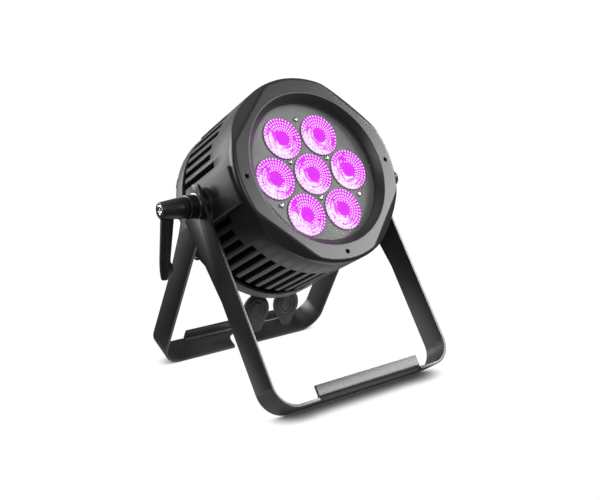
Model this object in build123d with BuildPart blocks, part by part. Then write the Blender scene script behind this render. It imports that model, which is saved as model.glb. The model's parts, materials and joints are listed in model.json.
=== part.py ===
"""Outdoor LED par can on a double floor yoke: finned head, two steel yokes, clamp levers.

Units are millimetres, +Z is up, the beam leaves towards -Y. The origin is on the floor,
under the middle of the stand.
"""
from build123d import *
from math import acos, atan2, cos, degrees, hypot, radians, sin
import os

os.makedirs("parts", exist_ok=True)

# ---------------------------------------------------------------- stand
arm_length = 213.0          # pivot axis to the underside of the outer yoke's bar
outer_lean = 33.4           # how far the outer yoke leans forward, degrees
strip_width = 29.0
strip_thickness = 3.0
nest_gap = 5.0              # between the two bars when the yokes are folded together
corner_radius = 25.0        # outside of the yoke's bend
bar_flange_length = 130.0
bar_flange_height = 15.0
fold_radius = 6.0           # outside of the flange's fold
slot_radius = 12.0          # hanging slot in the inner yoke's bar
slot_depth = 20.0
arm_shoulder = 27.0         # lobe behind the pivot

# ---------------------------------------------------------------- head
head_tilt = 27.65           # beam above the horizon, degrees
head_rise = 1.7             # head's axis above the pivots, square to the beam
lens_front = 48.4           # every z below is along the beam, from the pivots
lens_radius = 22.0
lens_pitch = 46.0
lens_rim = 2.0
chamber_margin = 8.0        # outer lenses' edge to the wall round them
chamber_radius = lens_pitch + lens_radius + chamber_margin
glass_ledge = 3.0           # glass rests on this much of the housing
glass_thickness = 4.0
glass_radius = chamber_radius + glass_ledge
glass_edge_gap = 1.0
rim_width = 17.0            # housing outside the glass
body_radius = glass_radius + glass_edge_gap + rim_width
bezel_front = 61.0
bezel_thickness = 8.0
lip_cover = 3.5             # bezel's lip over the chamber
window_radius = chamber_radius - lip_cover
lip_width = 6.8
window_mouth = window_radius + lip_width
lip_depth = 5.6
facet_reach = body_radius - 9.9     # axis to each facet, on the front face
facet_foot = body_radius + 0.6      # axis to each facet, near the rear edge
bezel_screw_circle = body_radius - 10.0
plate_thickness = 2.5
led_board_thickness = 1.6
spreader_front = 24.0
spreader_rear = 12.0
fin_depth = 15.0
can_wall = 10.0
can_outer = body_radius - fin_depth     # drum that the fins stand on
can_inner = can_outer - can_wall
fin_tip = -39.0
can_rear = -43.0
slot_front = 23.5           # front end of the gaps between the fins
short_slot_front = 15.5
fin_gap = 6.6
fin_pitch = 7.0
first_gap_angle = 16.5      # from the pad's centre line
gaps_per_quarter = 11
pad_proud = 2.5             # pad's flat beyond the body's radius
pad_half_height = 18.5

# ---------------------------------------------------------------- rear
cover_gasket = 2.0
cover_depth = 16.0
cover_wall = 3.0
cover_edge = 3.0
box_depth = 7.0             # terminal box behind the rear cover
box_side_gap = 1.2          # socket's barrel to the box's side wall
box_bottom = -82.0
box_top = 66.0
socket_x = 20.0
lower_socket_y = -54.0
upper_socket_y = -2.0
socket_mouth = 10.0
mouth_depth = 7.0            # clear round part of the mouth, before the contacts
socket_depth = 17.0
barrel_wall = 1.8
nose_wall = 2.5
cap_rim = 4.0               # cap's edge past the socket's nose
hinge_gap = 7.5             # cap's edge to its hinge's axis
cap_thickness = 3.0
skirt_depth = 2.0           # cap's rim round the socket's nose
skirt_thickness = 1.6

# ---------------------------------------------------------------- pivots and levers
spacer_thickness = 5.0
washer_thickness = 1.0
stud_radius = 4.0
hub_radius = 10.0
collar_radius = 11.6
collar_length = 9.5
lever_length = 28.0         # hub's outer end from the collar
lever_reach = 68.0

# ---------------------------------------------------------------- clearances
running = 0.1               # radial gap of a hinge's shaft
loose = 0.3                 # gap between pieces that pass each other
screw_gap = 0.1             # radial gap around a screw

# ---------------------------------------------------------------- worked out
inner_arm_length = arm_length - strip_thickness - nest_gap
half_strip = strip_width / 2
lean = radians(outer_lean)
pivot_height = arm_length * cos(lean) + half_strip * sin(lean)
inner_lean = degrees(acos(pivot_height / hypot(inner_arm_length, half_strip))
                     + atan2(half_strip, inner_arm_length))
front_reach = arm_length * sin(lean) + half_strip * cos(lean)
rear_reach = (inner_arm_length * sin(radians(inner_lean))
              + half_strip * cos(radians(inner_lean)))
pivot_y = (front_reach - rear_reach) / 2

pad_flat = body_radius + pad_proud
inner_half_span = pad_flat + spacer_thickness + strip_thickness
outer_half_span = inner_half_span + washer_thickness + strip_thickness
collar_start = outer_half_span + washer_thickness
hub_start = collar_start + collar_length
lever_end = hub_start + lever_length

bezel_rear = bezel_front - bezel_thickness
glass_front = bezel_front - lip_depth - 0.9
glass_rear = glass_front - glass_thickness
glass_seat = glass_rear - 1.6
plate_front = lens_front - 1.0
plate_rear = plate_front - plate_thickness
led_face = spreader_front + led_board_thickness
cover_front = can_rear - cover_gasket
cover_rear = cover_front - cover_depth
box_rear = cover_rear - box_depth
frame_rear = box_rear - 1.5
flange_rear = frame_rear - 2.0
nose_rear = flange_rear - 4.5
socket_nose = socket_mouth + nose_wall
socket_barrel = socket_mouth + barrel_wall
box_half_width = socket_x + socket_barrel + box_side_gap + cover_wall
cap_radius = socket_nose + cap_rim
cap_reach = cap_radius + hinge_gap  # cap's hinge to the socket's axis
cap_inner = nose_rear - loose
cap_axis_z = cap_inner - cap_thickness / 2

pivot = Vector(0, pivot_y, pivot_height)
tilt = radians(head_tilt)
beam = (0, -cos(tilt), sin(tilt))
head_middle = pivot + Vector(0, sin(tilt), cos(tilt)) * head_rise
head = Plane(origin=head_middle, x_dir=(1, 0, 0), z_dir=beam)
head_side = Plane(origin=head_middle, x_dir=(1, 0, 0), z_dir=(0, -sin(tilt), -cos(tilt)))
head_axis = Axis(head_middle, beam)


def head_point(x, y, z):
    """A place given in the head's own frame, in the object's frame."""
    return head.from_local_coords(Vector(x, y, z))


def yoke_plane(angle, towards_front):
    """Plane across a yoke: local Y runs up the arms, local Z runs away from the pivot's plumb line."""
    way = -1 if towards_front else 1
    normal = (0, way * cos(radians(angle)), sin(radians(angle)))
    return Plane(origin=pivot, x_dir=(-way, 0, 0), z_dir=normal)


def finish(part, name):
    part.label = name
    export_step(part, f"parts/{name}.step")


# ================================================================ yokes
def yoke_outline(half_span, length):
    """Centre-open U of the strip, seen square on, pivot at the origin."""
    inner_span = half_span - strip_thickness
    with BuildSketch(mode=Mode.PRIVATE) as sketch:
        with BuildLine():
            FilletPolyline((-half_span, 40), (-half_span, -length), (half_span, -length),
                           (half_span, 40), radius=corner_radius)
            Line((half_span, 40), (inner_span, 40))
            FilletPolyline((inner_span, 40), (inner_span, strip_thickness - length),
                           (-inner_span, strip_thickness - length), (-inner_span, 40),
                           radius=corner_radius - strip_thickness)
            Line((-inner_span, 40), (-half_span, 40))
        make_face()
    return sketch.sketch


def arm_profile(length, leaning_lobe):
    """Side outline of the yoke: strip, with a pointed top and a lobe behind the pivot."""
    top = length + 10
    with BuildSketch(mode=Mode.PRIVATE) as sketch:
        with BuildLine():
            if leaning_lobe:
                Polyline((-top, -half_strip), (-95, -half_strip), (-51, -20.6), (-4, -arm_shoulder),
                         (19.5, 7), (14.5, 16.5), (0, half_strip), (-top, half_strip), close=True)
            else:
                Polyline((-top, -half_strip), (-60, -12.5), (-10, -12.5), (11, -12), (12, 10),
                         (-6, 24.5), (-50, 18.0), (-95, half_strip), (-top, half_strip), close=True)
        make_face()
        fillet(sketch.vertices().filter_by(lambda v: v.X > -12), radius=3.0)
    return sketch.sketch


def make_yoke(plane, half_span, length, leaning_lobe, slotted):
    """Bent strip cut to the arm's outline, with the bar's folded flange, slot and pivot holes."""
    side = Plane(origin=pivot, x_dir=plane.y_dir, z_dir=(plane.y_dir.cross(plane.z_dir)))
    bar_under = -length
    with BuildPart() as yoke:
        with BuildSketch(plane):
            add(yoke_outline(half_span, length))
        extrude(amount=60, both=True)
        with BuildSketch(side):
            add(arm_profile(length, leaning_lobe))
        extrude(amount=half_span + 5, both=True, mode=Mode.INTERSECT)
        fold_start = half_strip - fold_radius - strip_thickness
        with BuildSketch(side):
            with Locations((bar_under, half_strip)):
                Rectangle(4 * strip_thickness, 2 * (half_strip - fold_start))
        extrude(amount=bar_flange_length / 2, both=True, mode=Mode.SUBTRACT)
        with BuildSketch(side):
            with BuildLine():
                FilletPolyline((bar_under, fold_start), (bar_under, half_strip),
                               (bar_under + bar_flange_height, half_strip), radius=fold_radius)
                Line((bar_under + bar_flange_height, half_strip),
                     (bar_under + bar_flange_height, half_strip - strip_thickness))
                FilletPolyline((bar_under + bar_flange_height, half_strip - strip_thickness),
                               (bar_under + strip_thickness, half_strip - strip_thickness),
                               (bar_under + strip_thickness, fold_start),
                               radius=fold_radius - strip_thickness)
                Line((bar_under + strip_thickness, fold_start), (bar_under, fold_start))
            make_face()
        extrude(amount=bar_flange_length / 2, both=True)
        slot_end = slot_depth - half_strip
        slot_floor = Plane(origin=pivot + plane.y_dir * (bar_under - 5), x_dir=plane.x_dir,
                           z_dir=plane.y_dir)
        across = -1 if slot_floor.y_dir.dot(plane.z_dir) < 0 else 1
        if slotted:
            with BuildSketch(slot_floor):
                with Locations((0, across * (slot_end - slot_radius))):
                    Circle(slot_radius)
                with Locations((0, across * (slot_end - slot_radius - slot_depth))):
                    Rectangle(2 * slot_radius, 2 * slot_depth)
            extrude(amount=5 + strip_thickness + 1, mode=Mode.SUBTRACT)
        with BuildSketch(Plane.YZ.offset(-half_span - 5)):
            with Locations((pivot_y, pivot_height)):
                Circle(stud_radius + running)
        extrude(amount=2 * half_span + 10, mode=Mode.SUBTRACT)
    return yoke.part


outer_plane = yoke_plane(outer_lean, towards_front=True)
inner_plane = yoke_plane(inner_lean, towards_front=False)
finish(make_yoke(outer_plane, outer_half_span, arm_length, leaning_lobe=True, slotted=False), "outer_yoke")
finish(make_yoke(inner_plane, inner_half_span, inner_arm_length, leaning_lobe=False, slotted=True),
       "inner_yoke")


# ================================================================ head: die-cast housing
def polar_places(radius, angles):
    return [(radius * cos(radians(a)), radius * sin(radians(a))) for a in angles]


inner_post_angles = (30, 150, 270)
outer_post_angles = (90, 210, 330)
inner_post_circle = lens_pitch / (2 * cos(radians(30)))
outer_post_circle = chamber_radius - 19.0
posts = polar_places(inner_post_circle, inner_post_angles) + polar_places(outer_post_circle,
                                                                         outer_post_angles)
post_radius = 3.2
driver_posts = polar_places(45.0, (45, 135, 225, 315))
driver_board_front = -8.0
cover_screws = polar_places((can_outer + can_inner) / 2, [45 * k for k in range(8)])
bezel_screws_at = polar_places(bezel_screw_circle, (0, 180, 270))
glass_recess = glass_radius + glass_edge_gap
fin_corner = 3.0
pad_rear = can_rear

with BuildPart() as main_housing:
    with BuildSketch(head_side):
        with BuildLine():
            Polyline((0, spreader_front), (chamber_radius, spreader_front), (chamber_radius, glass_seat),
                     (glass_recess, glass_seat), (glass_recess, bezel_rear), (body_radius, bezel_rear),
                     (body_radius, fin_tip + fin_corner))
            RadiusArc((body_radius, fin_tip + fin_corner), (body_radius - fin_corner, fin_tip), fin_corner)
            Polyline((body_radius - fin_corner, fin_tip), (can_outer, fin_tip), (can_outer, can_rear),
                     (can_inner, can_rear), (can_inner, spreader_rear), (0, spreader_rear),
                     (0, spreader_front))
        make_face()
    revolve(axis=head_axis)
    pad_inner = can_outer - 1
    with BuildSketch(head.offset(pad_rear)):
        for side in (-1, 1):
            with Locations((side * (pad_inner + pad_flat) / 2, -head_rise)):
                Rectangle(pad_flat - pad_inner, 2 * pad_half_height)
    extrude(amount=bezel_rear - pad_rear)
    with BuildSketch(head.offset(bezel_rear)):
        Circle(glass_recess)
    extrude(amount=glass_seat - bezel_rear, mode=Mode.SUBTRACT)
    for quarter in range(4):
        for k in range(gaps_per_quarter):
            from_pad = first_gap_angle + fin_pitch * k
            angle = (from_pad, 180 - from_pad, 180 + from_pad, 360 - from_pad)[quarter]
            front = short_slot_front if k in (1, 2) else slot_front
            with BuildSketch(head.offset(fin_tip - 2)):
                with Locations(Rotation(0, 0, angle)):
                    with Locations(((can_outer + body_radius + 10) / 2, 0)):
                        Rectangle(body_radius + 10 - can_outer, fin_gap)
            extrude(amount=front - fin_tip + 2, mode=Mode.SUBTRACT)
    with BuildSketch(head.offset(spreader_front)):
        with Locations(*posts):
            Circle(post_radius)
    extrude(amount=plate_rear - spreader_front)
    with BuildSketch(head.offset(spreader_rear)):
        with Locations(*driver_posts):
            Circle(4.0)
    extrude(amount=driver_board_front - spreader_rear)
    with BuildSketch(head.offset(plate_rear)):
        with Locations(*posts):
            Circle(1.25 + screw_gap)
    extrude(amount=-9.0, mode=Mode.SUBTRACT)
    with BuildSketch(head.offset(can_rear)):
        with Locations(*cover_screws):
            Circle(2.0 + screw_gap)
    extrude(amount=12.0, mode=Mode.SUBTRACT)
    with BuildSketch(head.offset(bezel_rear)):
        with Locations(*bezel_screws_at):
            Circle(1.5 + screw_gap)
    extrude(amount=-12.0, mode=Mode.SUBTRACT)
    with BuildSketch(Plane.YZ.offset(-pad_flat - 1)):
        with Locations((pivot_y, pivot_height)):
            Circle(stud_radius + running)
    extrude(amount=26.0, mode=Mode.SUBTRACT)
    with BuildSketch(Plane.YZ.offset(pad_flat + 1)):
        with Locations((pivot_y, pivot_height)):
            Circle(stud_radius + running)
    extrude(amount=-26.0, mode=Mode.SUBTRACT)
finish(main_housing.part, "main_housing")


# ================================================================ head: front
front_edge = 4.0
with BuildPart() as front_bezel:
    with BuildSketch(head_side):
        with BuildLine():
            lip_z = bezel_front - lip_depth
            Polyline((body_radius, bezel_rear), (body_radius, bezel_front - front_edge))
            RadiusArc((body_radius, bezel_front - front_edge), (body_radius - front_edge, bezel_front),
                      -front_edge)
            Polyline((body_radius - front_edge, bezel_front), (window_mouth, bezel_front),
                     (window_radius, lip_z), (window_radius, glass_front), (glass_recess, glass_front),
                     (glass_recess, bezel_rear), (body_radius, bezel_rear))
        make_face()
    revolve(axis=head_axis)
    slope = degrees(atan2(facet_foot - facet_reach, bezel_thickness))
    for corner in range(4):
        turn = radians(45 + 90 * corner)
        outward = head.x_dir * cos(turn) + head.y_dir * sin(turn)
        along = head.x_dir * -sin(turn) + head.y_dir * cos(turn)
        normal = outward * cos(radians(slope)) + head.z_dir * sin(radians(slope))
        start = head_middle + head.z_dir * bezel_front + outward * facet_reach
        with BuildSketch(Plane(origin=start, x_dir=along, z_dir=normal)):
            Rectangle(140, 60)
        extrude(amount=30, mode=Mode.SUBTRACT)
    with BuildSketch(head.offset(bezel_front)):
        with Locations(*bezel_screws_at):
            Circle(2.9)
    extrude(amount=-4.0, mode=Mode.SUBTRACT)
    with BuildSketch(head.offset(bezel_front)):
        with Locations(*bezel_screws_at):
            Circle(1.5 + screw_gap)
    extrude(amount=-bezel_thickness, mode=Mode.SUBTRACT)
finish(front_bezel.part, "front_bezel")


def screw_set(places, head_z, head_radius, head_height, shank_radius, shank_length, drive):
    """Identical screws along the beam, heads towards +z of the head frame, hex drive in each."""
    way = 1 if shank_length > 0 else -1
    with BuildPart() as screws:
        with BuildSketch(head.offset(head_z)):
            with Locations(*places):
                Circle(head_radius)
        extrude(amount=way * head_height)
        with BuildSketch(head.offset(head_z)):
            with Locations(*places):
                Circle(shank_radius)
        extrude(amount=-shank_length)
        with BuildSketch(head.offset(head_z + way * head_height)):
            with Locations(*places):
                RegularPolygon(drive, 6)
        extrude(amount=-way * head_height * 0.6, mode=Mode.SUBTRACT)
    return screws.part


finish(screw_set(bezel_screws_at, bezel_front - 4.0, 2.6, 2.6, 1.5, 14.0, 1.3), "bezel_screws")

with BuildPart() as glass_gasket:
    with BuildSketch(head.offset(glass_seat)):
        Circle(glass_radius - 0.2)
        Circle(chamber_radius, mode=Mode.SUBTRACT)
    extrude(amount=glass_rear - glass_seat)
finish(glass_gasket.part, "glass_gasket")

with BuildPart() as front_glass:
    with BuildSketch(head.offset(glass_rear)):
        Circle(glass_radius)
    extrude(amount=glass_thickness)
    chamfer(front_glass.edges().filter_by(GeomType.CIRCLE), length=0.5)
finish(front_glass.part, "front_glass")

lens_places = [(0.0, 0.0)] + polar_places(lens_pitch, [60 * k for k in range(6)])
with BuildPart() as lens_plate:
    with BuildSketch(head.offset(plate_rear)):
        Circle(chamber_radius - loose)
    extrude(amount=plate_thickness)
    with BuildSketch(head.offset(plate_rear)):
        with Locations(*lens_places):
            Circle(lens_radius - 1.2)
    extrude(amount=plate_thickness, mode=Mode.SUBTRACT)
    with BuildSketch(head.offset(lens_front - lens_rim)):
        with Locations(*lens_places):
            Circle(lens_radius + screw_gap)
    extrude(amount=lens_rim, mode=Mode.SUBTRACT)
    with BuildSketch(head.offset(plate_rear)):
        with Locations(*posts):
            Circle(1.25 + screw_gap)
    extrude(amount=plate_thickness, mode=Mode.SUBTRACT)
finish(lens_plate.part, "lens_plate")
finish(screw_set(posts, plate_front, 2.4, 1.6, 1.25, 9.5, 1.2), "lens_plate_screws")

led_height = 3.0
lens_tail_z = led_face + led_height + 0.6
for number, (x, y) in enumerate(lens_places, start=1):
    lens_plane = Plane(origin=head_point(x, y, 0), x_dir=head.x_dir, z_dir=head_side.z_dir)
    with BuildPart() as lens:
        with BuildSketch(lens_plane):
            with BuildLine():
                Polyline((0, lens_front), (lens_radius, lens_front), (lens_radius, lens_front - lens_rim),
                         (lens_radius - 2.5, lens_front - lens_rim), (lens_radius - 3.5, plate_rear - 2),
                         (7.5, lens_tail_z), (4.5, lens_tail_z), (4.0, lens_tail_z + 5),
                         (0, lens_tail_z + 6), (0, lens_front))
            make_face()
        revolve(axis=Axis(head_point(x, y, 0), beam))
    finish(lens.part, f"lens_{number}")

with BuildPart() as lens_holders:
    with BuildSketch(head.offset(led_face)):
        with Locations(*lens_places):
            Circle(lens_radius - 0.8)
            Circle(lens_radius - 2.8, mode=Mode.SUBTRACT)
    extrude(amount=plate_rear - led_face)
    with BuildSketch(head.offset(led_face)):
        with Locations(*lens_places):
            Circle(lens_radius - 1.8)
            Circle(9.0, mode=Mode.SUBTRACT)
    extrude(amount=1.5)
finish(lens_holders.part, "lens_holders")

with BuildPart() as led_board:
    with BuildSketch(head.offset(spreader_front)):
        Circle(chamber_radius - 2)
        with Locations(*posts):
            Circle(post_radius + loose, mode=Mode.SUBTRACT)
    extrude(amount=led_board_thickness)
finish(led_board.part, "led_board")

with BuildPart() as led_emitters:
    with BuildSketch(head.offset(led_face)):
        with Locations(*lens_places):
            Rectangle(7, 7)
    extrude(amount=led_height - 1.4)
    with BuildSketch(head.offset(led_face + led_height - 1.4)):
        with Locations(*lens_places):
            Circle(2.6)
    extrude(amount=1.2, taper=20)
finish(led_emitters.part, "led_emitters")


# ================================================================ head: electronics
with BuildPart() as driver_board:
    with BuildSketch(head.offset(driver_board_front)):
        Circle(can_inner - 4)
    extrude(amount=-1.6)
    with BuildSketch(head.offset(driver_board_front - 1.6)):
        with Locations((-18, 12)):
            Rectangle(34, 30)
        with Locations((26, -20)):
            Rectangle(22, 26)
    extrude(amount=-20)
    with BuildSketch(head.offset(driver_board_front - 1.6)):
        with Locations((20, 20), (36, 12), (-24, -26), (-6, -32)):
            Circle(6.5)
    extrude(amount=-18)
finish(driver_board.part, "driver_board")

display_y = 42.0
display_width = 40.0
display_height = 20.0
button_radius = 3.5
button_places = [(-22.5 + 15 * k, 19.5 + display_height / 2 - 5.5) for k in range(4)]
button_travel = 1.0
switch_height = 1.5
control_rear = box_rear + cover_wall + 6.5
sockets = {"power_in": (-socket_x, upper_socket_y), "power_out": (socket_x, upper_socket_y),
           "data_in": (-socket_x, lower_socket_y), "data_out": (socket_x, lower_socket_y)}
board_middle = (button_places[0][1] + display_y) / 2

with BuildPart() as control_board:
    with BuildSketch(head.offset(control_rear)):
        with Locations((0, board_middle)):
            Rectangle(56, 36)
    extrude(amount=1.6)
    with BuildSketch(head.offset(control_rear)):
        with Locations((0, display_y)):
            Rectangle(display_width - 6, display_height - 4)
    extrude(amount=-4.0)
    with BuildSketch(head.offset(control_rear)):
        with Locations(*button_places):
            Rectangle(6, 6)
    extrude(amount=-switch_height)
finish(control_board.part, "control_board")


# ================================================================ head: rear cover
flange_width = 2 * socket_nose + 1
flange_height = flange_width + 5
flange_screw_inset = 3.0
flange_screws = [(side * (flange_width / 2 - flange_screw_inset),
                  side * (flange_height / 2 - flange_screw_inset)) for side in (1, -1)]
eye_x = -80.0
eye_y = -30.0
vent_place = (27.0, display_y)
board_posts = [(sx * 25.5, board_middle + sy * 15.8) for sx in (-1, 1) for sy in (-1, 1)]

with BuildPart() as rear_cover:
    with BuildSketch(head_side):
        with BuildLine():
            inside = cover_rear + cover_wall
            Polyline((0, inside), (can_inner, inside), (can_inner, cover_front), (can_outer, cover_front),
                     (can_outer, inside), (body_radius - cover_edge, inside),
                     (body_radius - cover_wall, inside + 5), (body_radius - cover_wall, cover_front),
                     (body_radius, cover_front), (body_radius, cover_rear + cover_edge))
            RadiusArc((body_radius, cover_rear + cover_edge), (body_radius - cover_edge, cover_rear),
                      cover_edge)
            Polyline((body_radius - cover_edge, cover_rear), (0, cover_rear), (0, inside))
        make_face()
    revolve(axis=head_axis)
    box_height = box_top - box_bottom
    box_middle = (box_top + box_bottom) / 2
    with BuildSketch(head.offset(box_rear)):
        with Locations((0, box_middle)):
            RectangleRounded(2 * box_half_width, box_height, 8)
    extrude(amount=box_depth + 1)
    with BuildSketch(head.offset(box_rear + cover_wall)):
        with Locations((0, box_middle + 6)):
            RectangleRounded(2 * (box_half_width - cover_wall), box_height - 2 * cover_wall - 12, 6)
        with BuildSketch(mode=Mode.INTERSECT):
            Circle(can_inner)
    extrude(amount=box_depth + 1, mode=Mode.SUBTRACT)
    with BuildSketch(head.offset(control_rear)):
        with Locations(*board_posts):
            Circle(2.5)
    extrude(amount=box_rear + cover_wall - control_rear)
    with BuildSketch(head.offset(box_rear)):
        with Locations(*sockets.values()):
            Circle(socket_barrel + loose)
        with Locations(*button_places):
            Circle(button_radius + running)
        with Locations((0, display_y)):
            Rectangle(display_width - 4, display_height - 3)
    extrude(amount=cover_wall, mode=Mode.SUBTRACT)
    with BuildSketch(head.offset(box_rear)):
        with Locations((0, display_y)):
            RectangleRounded(display_width + 2 * screw_gap, display_height + 2 * screw_gap, 2)
    extrude(amount=1.2, mode=Mode.SUBTRACT)
    with BuildSketch(head.offset(box_rear)):
        with Locations(vent_place):
            Circle(3.0 + screw_gap)
        with Locations(*[(x + sx, y + sy) for x, y in sockets.values() for sx, sy in flange_screws]):
            Circle(1.25 + screw_gap)
    extrude(amount=cover_wall + 3, mode=Mode.SUBTRACT)
    with BuildSketch(head.offset(cover_rear)):
        with Locations(*cover_screws):
            Circle(2.0 + screw_gap)
    extrude(amount=cover_depth, mode=Mode.SUBTRACT)
    with BuildSketch(head.offset(box_rear - 1)):
        with Locations(*cover_screws):
            Circle(4.2)
    extrude(amount=box_depth + 1 + 1.0, mode=Mode.SUBTRACT)
finish(rear_cover.part, "rear_cover")

with BuildPart() as cover_gasket_ring:
    with BuildSketch(head.offset(cover_front)):
        Circle(can_outer - 0.5)
        Circle(can_inner + 0.5, mode=Mode.SUBTRACT)
        with Locations(*cover_screws):
            Circle(2.0 + screw_gap, mode=Mode.SUBTRACT)
    extrude(amount=cover_gasket)
finish(cover_gasket_ring.part, "rear_gasket")
finish(screw_set(cover_screws, cover_rear + 1.0, 3.6, 3.0, 2.0, -(cover_depth + cover_gasket + 8), 1.8),
       "rear_cover_screws")

with BuildPart() as display_window:
    with BuildSketch(head.offset(box_rear - 0.4)):
        with Locations((0, display_y)):
            RectangleRounded(display_width, display_height, 2)
    extrude(amount=1.6)
finish(display_window.part, "display_window")

for number, (x, y) in enumerate(button_places, start=1):
    with BuildPart() as button:
        with BuildSketch(head.offset(box_rear - 1.5)):
            with Locations((x, y)):
                Circle(button_radius)
        extrude(amount=1.5 + cover_wall)
        with BuildSketch(head.offset(box_rear + cover_wall)):
            with Locations((x, y)):
                Circle(button_radius + 1.0)
        extrude(amount=1.2)
        with BuildSketch(head.offset(box_rear + cover_wall)):
            with Locations((x, y)):
                Circle(1.8)
        extrude(amount=control_rear - switch_height - button_travel - 0.05 - box_rear - cover_wall)
        fillet(button.faces().sort_by(head_axis)[0].edges(), radius=0.8)
    finish(button.part, f"menu_button_{number}")

with BuildPart() as pressure_vent:
    with BuildSketch(head.offset(box_rear)):
        with Locations(vent_place):
            RegularPolygon(4.6, 6)
    extrude(amount=-2.5)
    with BuildSketch(head.offset(box_rear)):
        with Locations(vent_place):
            Circle(3.0)
    extrude(amount=cover_wall + 2)
finish(pressure_vent.part, "pressure_vent")

eye_hole = 5.0
eye_rise = 10.0
with BuildPart() as safety_eye:
    eye_side = Plane(origin=head_point(eye_x - 2.5, eye_y, cover_rear), x_dir=head.y_dir,
                     z_dir=head.x_dir)
    with BuildSketch(eye_side):
        outer = 1 if eye_side.y_dir.dot(head.z_dir) < 0 else -1
        with Locations((0, outer * eye_rise)):
            Circle(eye_hole + 3.5)
        with Locations((0, outer * eye_rise / 2)):
            Rectangle(2 * (eye_hole + 3.5), eye_rise)
        with Locations((0, outer * eye_rise)):
            Circle(eye_hole, mode=Mode.SUBTRACT)
    extrude(amount=5.0)
finish(safety_eye.part, "safety_eye")


# ================================================================ head: sockets and their caps
for name, (x, y) in sockets.items():
    pins = polar_places(4.2, (90, 210, 330)) if name.startswith("power") else polar_places(
        4.6, (30, 102, 174, 246, 318))
    places = [(x + px, y + py) for px, py in pins]
    with BuildPart() as socket:
        with BuildSketch(head.offset(flange_rear)):
            with Locations((x, y)):
                RectangleRounded(flange_width, flange_height, 3)
            with Locations(*[(x + sx, y + sy) for sx, sy in flange_screws]):
                Circle(1.25 + screw_gap, mode=Mode.SUBTRACT)
        extrude(amount=frame_rear - flange_rear)
        with BuildSketch(head.offset(nose_rear)):
            with Locations((x, y)):
                Circle(socket_nose)
        extrude(amount=flange_rear - nose_rear)
        with BuildSketch(head.offset(frame_rear)):
            with Locations((x, y)):
                Circle(socket_barrel)
        extrude(amount=18.0)
        with BuildSketch(head.offset(nose_rear)):
            with Locations((x, y)):
                Circle(socket_mouth)
        extrude(amount=mouth_depth, mode=Mode.SUBTRACT)
        with BuildSketch(head.offset(nose_rear)):
            with Locations((x, y)):
                Circle(socket_mouth - 1)
        extrude(amount=socket_depth, mode=Mode.SUBTRACT)
        with BuildSketch(head.offset(nose_rear + socket_depth)):
            with Locations(*places):
                Circle(1.1)
        extrude(amount=mouth_depth + 0.5 - socket_depth)
    finish(socket.part, f"{name}_socket")

with BuildPart() as socket_screws:
    all_places = [(x + sx, y + sy) for x, y in sockets.values() for sx, sy in flange_screws]
    with BuildSketch(head.offset(flange_rear)):
        with Locations(*all_places):
            Circle(2.3)
    extrude(amount=-1.4)
    with BuildSketch(head.offset(flange_rear)):
        with Locations(*all_places):
            Circle(1.25)
    extrude(amount=8.0)
finish(socket_screws.part, "socket_screws")

hinge_width = 12.0
knuckle_radius = 1.6
with BuildPart() as cap_frames:
    with BuildSketch(head.offset(frame_rear)):
        for x, y in sockets.values():
            hinge_y = y - cap_reach
            with Locations((x, y)):
                RectangleRounded(flange_width + 2, flange_height + 2, 3)
            with Locations((x, (y - flange_height / 2 + hinge_y - knuckle_radius) / 2)):
                Rectangle(hinge_width, y - flange_height / 2 - hinge_y + knuckle_radius)
        for x, y in sockets.values():
            with Locations((x, y)):
                Circle(socket_barrel, mode=Mode.SUBTRACT)
            with Locations(*[(x + sx, y + sy) for sx, sy in flange_screws]):
                Circle(1.25 + screw_gap, mode=Mode.SUBTRACT)
    extrude(amount=box_rear - frame_rear)
    with BuildSketch(head.offset(frame_rear)):
        for x, y in sockets.values():
            with Locations((x, y - cap_reach)):
                Rectangle(hinge_width, 2 * knuckle_radius)
    extrude(amount=cap_axis_z + knuckle_radius + loose - frame_rear)
finish(cap_frames.part, "cap_frames")

closed_turn = 180 - head_tilt
for name, (x, y) in sockets.items():
    hinge_at = head_point(x, y - cap_reach, cap_axis_z)
    hanging = name.startswith("data")
    reach_dir = Vector(0, 0, -1) if hanging else head.y_dir
    face_dir = Vector(0, -1, 0) if hanging else head.z_dir * -1
    cap_plane = Plane(origin=hinge_at, x_dir=face_dir.cross(reach_dir) * -1, z_dir=face_dir)
    up = 1 if cap_plane.y_dir.dot(reach_dir) > 0 else -1
    with BuildPart() as cap:
        with BuildSketch(cap_plane.offset(-cap_thickness / 2)):
            with Locations((0, up * cap_reach)):
                Circle(cap_radius)
            with BuildLine():
                Polyline((-12.5, up * (cap_reach + 10.8)), (-4, up * 2 * cap_reach),
                         (4, up * 2 * cap_reach), (12.5, up * (cap_reach + 10.8)), close=True)
            make_face()
            with Locations((0, up * cap_reach / 4)):
                Rectangle(hinge_width, cap_reach / 2)
        extrude(amount=cap_thickness)
        with BuildSketch(Plane.YZ.offset(x - hinge_width / 2)):
            with Locations((hinge_at.Y, hinge_at.Z)):
                Circle(knuckle_radius)
        extrude(amount=hinge_width)
        with BuildSketch(cap_plane.offset(-cap_thickness / 2)):
            with Locations((0, up * cap_reach)):
                Circle(socket_nose + loose + skirt_thickness)
                Circle(socket_nose + loose, mode=Mode.SUBTRACT)
        extrude(amount=-skirt_depth)
        with BuildSketch(cap_plane.offset(cap_thickness / 2)):
            with Locations((0, up * cap_reach)):
                Circle(12.0)
                Circle(11.0, mode=Mode.SUBTRACT)
                Circle(7.5)
                Circle(6.5, mode=Mode.SUBTRACT)
        extrude(amount=0.5)
    finish(cap.part, f"{name}_cap")


# ================================================================ pivots and clamp levers
def pivot_disc(start, length, radius, taper=0):
    """Cylinder on the pivot axis, from start towards the outside by length (signed)."""
    with BuildPart() as disc:
        with BuildSketch(Plane.YZ.offset(start)):
            with Locations((pivot_y, pivot_height)):
                Circle(radius)
        extrude(amount=length, taper=taper)
    return disc.part


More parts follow.
